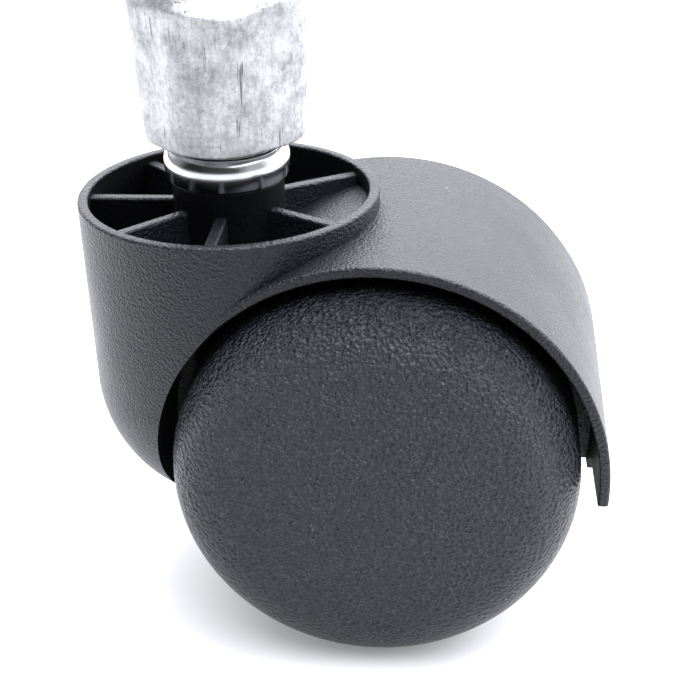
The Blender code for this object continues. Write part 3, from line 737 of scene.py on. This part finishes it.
def build_socket():
    around = 240
    turn = math.radians(SOCKET_TURN_DEG)
    levels = []      # (z, half width, how much of the shoulder's dip applies)
    bottom = GAP
    for a in (0, 22.5, 45, 67.5, 90):
        r = math.radians(a)
        levels.append((bottom + 0.4 - 0.4 * math.cos(r), SOCKET_HALF - 0.25 + 0.25 * math.sin(r), 0.0))
    for i in range(1, 15):
        t = i / 14.0
        z = bottom + 0.4 + (SOCKET_SHOULDER_Z - 0.35 - bottom - 0.4) * t
        levels.append((z, SOCKET_HALF + 0.7 * t, max(0.0, (t - 0.6) / 0.4)))
    crown = [(16.7, 9.78), (17.0, 9.68), (17.5, 9.42), (18.2, 9.04), (18.9, 8.65), (19.6, 8.38), (20.3, 8.15),
             (21.0, 7.92), (21.6, 7.68), (22.2, 7.38), (22.8, 6.98), (23.3, 6.5), (23.7, 6.05), (24.0, 5.65),
             (24.3, 5.1), (24.5, 4.65), (SOCKET_TOP_Z, 4.2)]
    for z, half in crown:
        levels.append((z, half, max(0.0, 1.0 - (z - 16.7) / 4.0)))
    mesh = bpy.data.meshes.new("leg_end_form")
    bm = bmesh.new()
    rings = []
    for z, half, dip in levels:
        ring = []
        corner = min(SOCKET_CORNER_R, half * 0.80)
        for i in range(around):
            theta = 2 * math.pi * i / around
            r = section(theta, half, corner)
            # the shoulder is lowest over each corner and a little higher over the flats
            off = abs(abs((theta - DIP_TURN + math.pi / 4) % (math.pi / 2) - math.pi / 4) - math.pi / 4)
            lift = 0.95 * min(1.0, off / math.radians(38.0)) * dip
            ring.append(bm.verts.new((r * math.cos(theta + turn) * MM, r * math.sin(theta + turn) * MM,
                                      (z + lift) * MM)))
        rings.append(ring)
    for low, high in zip(rings, rings[1:]):
        for i in range(around):
            j = (i + 1) % around
            bm.faces.new((low[i], low[j], high[j], high[i]))
    bm.faces.new(rings[-1])
    bm.faces.new(list(reversed(rings[0])))
    bmesh.ops.recalc_face_normals(bm, faces=bm.faces)
    bm.to_mesh(mesh)
    bm.free()
    body = link(bpy.data.objects.new("leg_end_form", mesh))
    bore = turned("leg_bore_form", [(0.0, SOCKET_BORE_TOP_Z), (SOCKET_BORE_R - 0.9, SOCKET_BORE_TOP_Z),
                                    (SOCKET_BORE_R, SOCKET_BORE_TOP_Z - 0.9), (SOCKET_BORE_R, 1.0),
                                    (SOCKET_BORE_R + 0.7, GAP), (SOCKET_BORE_R + 0.7, -2.0), (0.0, -2.0)], steps=120)
    cut(body, bore)
    return baked(body, "leg_end_casting", sharp=38.0, drop=(bore,))


finish_piece(build_socket(), CAST, "leg_end", "cast_leg_metal", "leg_socket")

# ---------------------------------------------------------------- floor and light
floor_mesh = bpy.data.meshes.new("floor")
bm = bmesh.new()
bmesh.ops.create_grid(bm, x_segments=1, y_segments=1, size=3.0)
bm.to_mesh(floor_mesh)
bm.free()
floor = link(bpy.data.objects.new("floor", floor_mesh))
floor.location = (0.0, 0.0, FLOOR_Z * MM)
floor_mat = Nodes("pale_floor")
floor_mat.set(Roughness=0.85)
floor_mat.set(Emission_Color=(1.0, 1.0, 1.0, 1.0))
grain = floor_mat.noise(60.0, detail=2.0)
parts = floor_mat.tree.nodes.new("ShaderNodeSeparateXYZ")
floor_mat.link(floor_mat.coord, parts.inputs[0])
# Far in front of the caster, towards the camera, the floor is painted darker and does not glow: painted shade that the
# wheel face, cup and lip reflect. Near and behind the caster it is pale and glows.
unshaded_floor = floor_mat.span(parts.outputs[1], -125.0 * MM, -48.0 * MM, 0.0, 1.0)
floor_mat.to("Base Color", floor_mat.mix(unshaded_floor, floor_mat.mix(grain, (0.34, 0.34, 0.343), (0.37, 0.37, 0.373)),
                                         floor_mat.mix(grain, (0.57, 0.57, 0.573), (0.61, 0.61, 0.613))))
floor_mat.to("Emission Strength", floor_mat.math("MULTIPLY", unshaded_floor, FLOOR_GLOW))
floor.data.materials.append(floor_mat.mat)


def studio_light():
    """White tent: brighter behind the caster, darker at eye height in front of it."""
    world = bpy.data.worlds.new("studio")
    SCENE.world = world
    world.use_nodes = True
    tree = world.node_tree
    background = tree.nodes["Background"]
    coord = tree.nodes.new("ShaderNodeTexCoord")
    split = tree.nodes.new("ShaderNodeSeparateXYZ")
    tree.links.new(coord.outputs["Generated"], split.inputs[0])

    def ease(socket, low, high, a=0.0, b=1.0):
        n = tree.nodes.new("ShaderNodeMapRange")
        n.interpolation_type = "SMOOTHSTEP"
        for key, value in (("From Min", low), ("From Max", high), ("To Min", a), ("To Max", b)):
            n.inputs[key].default_value = value
        tree.links.new(socket, n.inputs["Value"])
        return n.outputs["Result"]

    def op(kind, a, b):
        n = tree.nodes.new("ShaderNodeMath")
        n.operation = kind
        for i, value in enumerate((a, b)):
            if isinstance(value, (int, float)):
                n.inputs[i].default_value = value
            else:
                tree.links.new(value, n.inputs[i])
        return n.outputs["Value"]

    x, y, z = split.outputs
    front = ease(y, FRONT_FROM, FRONT_TO, 1.0, 0.0)
    low = ease(z, 0.0, 0.10)
    high = ease(z, DARK_TOP - 0.10, DARK_TOP + 0.04, 1.0, 0.0)
    dark = op("MULTIPLY", front, op("MULTIPLY", low, high))
    behind = ease(y, 0.15, 0.75)
    belt = op("MULTIPLY", ease(z, 0.05, 0.25), ease(z, 0.62, 0.92, 1.0, 0.0))
    level = op("ADD", SKY, op("MULTIPLY", op("MULTIPLY", behind, belt), BACK))
    level = op("MULTIPLY", level, op("SUBTRACT", 1.0, op("MULTIPLY", dark, DARKNESS)))
    level = op("ADD", level, op("MULTIPLY", ease(z, OVERHEAD_FROM, OVERHEAD_FROM + 0.10), OVERHEAD))
    level = op("MULTIPLY", level, ease(x, -0.80, -0.26, 0.30, 1.0))
    level = op("ADD", level, op("MULTIPLY", ease(x, 0.35, 0.80), RIGHT_SIDE))
    key = op("MULTIPLY", ease(x, 0.02, 0.30), ease(z, 0.52, 0.70))
    level = op("ADD", level, op("MULTIPLY", key, KEY))
    tree.links.new(level, background.inputs["Strength"])
    background.inputs["Color"].default_value = (0.96, 0.98, 1.035, 1.0)


studio_light()

SCENE.view_settings.view_transform = "Standard"
SCENE.view_settings.look = "None"
